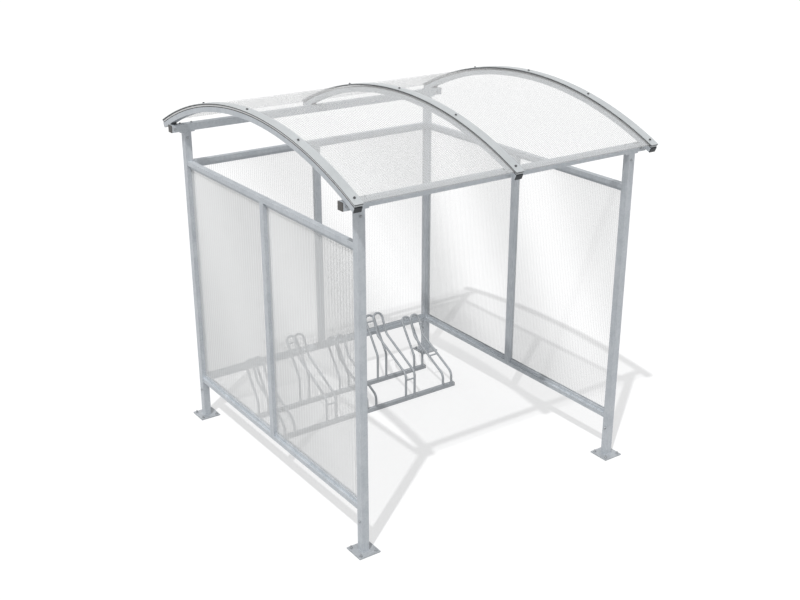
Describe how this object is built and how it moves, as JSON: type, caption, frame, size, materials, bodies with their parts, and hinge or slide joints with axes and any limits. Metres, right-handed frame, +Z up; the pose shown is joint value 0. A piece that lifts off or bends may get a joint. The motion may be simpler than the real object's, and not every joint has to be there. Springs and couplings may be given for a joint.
{
  "type": "bicycle shelter",
  "caption": "Open-fronted cycle shelter with a curved clear sheet roof on steel arches, sheeted side and back walls, and a rack of tubular wheel hoops.",
  "frame": {"origin": "centre of the shelter's outline on the ground", "axes": "+X to the right along the open front, +Y towards the back wall, +Z up"},
  "size_m": [2.292, 2.4408, 2.5392],
  "materials": {
    "galvanised_steel": "hot-dip galvanised, matt",
    "aluminium": "mill finish",
    "twin_wall_sheet": "clear twin-wall polycarbonate",
    "seal_rubber": "black sealing rubber",
    "cap_plastic": "dark moulded plastic"
  },
  "bodies": {
    "root": {"foot_plates": "galvanised_steel", "post_front_left": "galvanised_steel", "post_front_right": "galvanised_steel", "post_back_left": "galvanised_steel", "post_back_right": "galvanised_steel", "head_plates": "galvanised_steel", "eaves_beam_front": "galvanised_steel", "eaves_beam_back": "galvanised_steel", "beam_end_caps": "cap_plastic", "arch_packers": "seal_rubber", "roof_arch_left": "galvanised_steel", "roof_arch_middle": "galvanised_steel", "roof_arch_right": "galvanised_steel", "arch_end_caps": "cap_plastic", "lower_seals": "seal_rubber", "roof_sheet_left": "twin_wall_sheet", "roof_sheet_right": "twin_wall_sheet", "sheet_end_stops": "aluminium", "upper_seals": "seal_rubber", "clamp_strip_left": "aluminium", "clamp_strip_middle": "aluminium", "clamp_strip_right": "aluminium", "left_top_rail": "galvanised_steel", "left_bottom_rail": "galvanised_steel", "left_mullion": "galvanised_steel", "left_channels": "galvanised_steel", "left_sheets": "twin_wall_sheet", "right_top_rail": "galvanised_steel", "right_bottom_rail": "galvanised_steel", "right_mullion": "galvanised_steel", "right_channels": "galvanised_steel", "right_sheets": "twin_wall_sheet", "back_top_rail": "galvanised_steel", "back_bottom_rail": "galvanised_steel", "back_mullion": "galvanised_steel", "back_channels": "galvanised_steel", "back_sheets": "twin_wall_sheet", "rack_front_rail": "galvanised_steel", "rack_back_rail": "galvanised_steel", "rack_rail_caps": "cap_plastic", "rack_front_hoops_low": "galvanised_steel", "rack_front_hoops_high": "galvanised_steel", "rack_back_hoops_low": "galvanised_steel", "rack_back_hoops_high": "galvanised_steel"}
  },
  "joints": []
}
